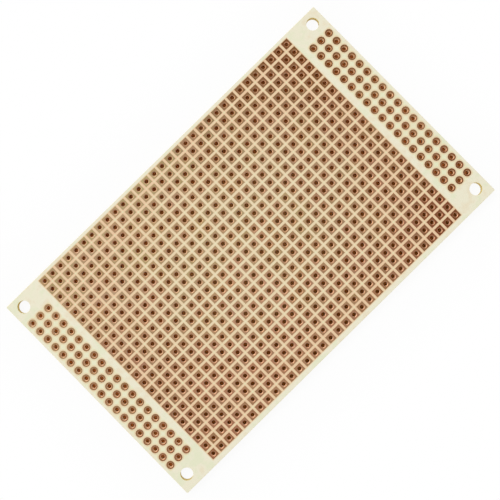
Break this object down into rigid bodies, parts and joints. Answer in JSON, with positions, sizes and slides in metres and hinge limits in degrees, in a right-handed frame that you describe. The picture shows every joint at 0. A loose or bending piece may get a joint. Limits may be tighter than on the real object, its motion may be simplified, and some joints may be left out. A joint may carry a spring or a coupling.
{
  "type": "prototype board",
  "caption": "Flat rectangular prototyping board of cream laminate, with a grid of square copper pads, round pads at both ends, and a screw hole in each corner.",
  "frame": {"origin": "middle of the underside", "axes": "+X along the board's length, +Y across it, +Z out of the copper side"},
  "size_m": [0.1, 0.06, 0.0016],
  "materials": {
    "laminate": "satin cream resin laminate",
    "copper": "bare copper foil under a thin clear flux coat"
  },
  "bodies": {
    "root": {"laminate": "laminate", "square_pads_col_01": "copper", "square_pads_col_02": "copper", "square_pads_col_03": "copper", "square_pads_col_04": "copper", "square_pads_col_05": "copper", "square_pads_col_06": "copper", "square_pads_col_07": "copper", "square_pads_col_08": "copper", "square_pads_col_09": "copper", "square_pads_col_10": "copper", "square_pads_col_11": "copper", "square_pads_col_12": "copper", "square_pads_col_13": "copper", "square_pads_col_14": "copper", "square_pads_col_15": "copper", "square_pads_col_16": "copper", "square_pads_col_17": "copper", "square_pads_col_18": "copper", "square_pads_col_19": "copper", "square_pads_col_20": "copper", "square_pads_col_21": "copper", "square_pads_col_22": "copper", "square_pads_col_23": "copper", "square_pads_col_24": "copper", "square_pads_col_25": "copper", "square_pads_col_26": "copper", "square_pads_col_27": "copper", "square_pads_col_28": "copper", "square_pads_col_29": "copper", "square_pads_col_30": "copper", "square_pads_col_31": "copper", "square_pads_col_32": "copper", "round_pads_left_1": "copper", "round_pads_left_2": "copper", "round_pads_left_3": "copper", "round_pads_right_1": "copper", "round_pads_right_2": "copper", "round_pads_right_3": "copper"}
  },
  "joints": []
}
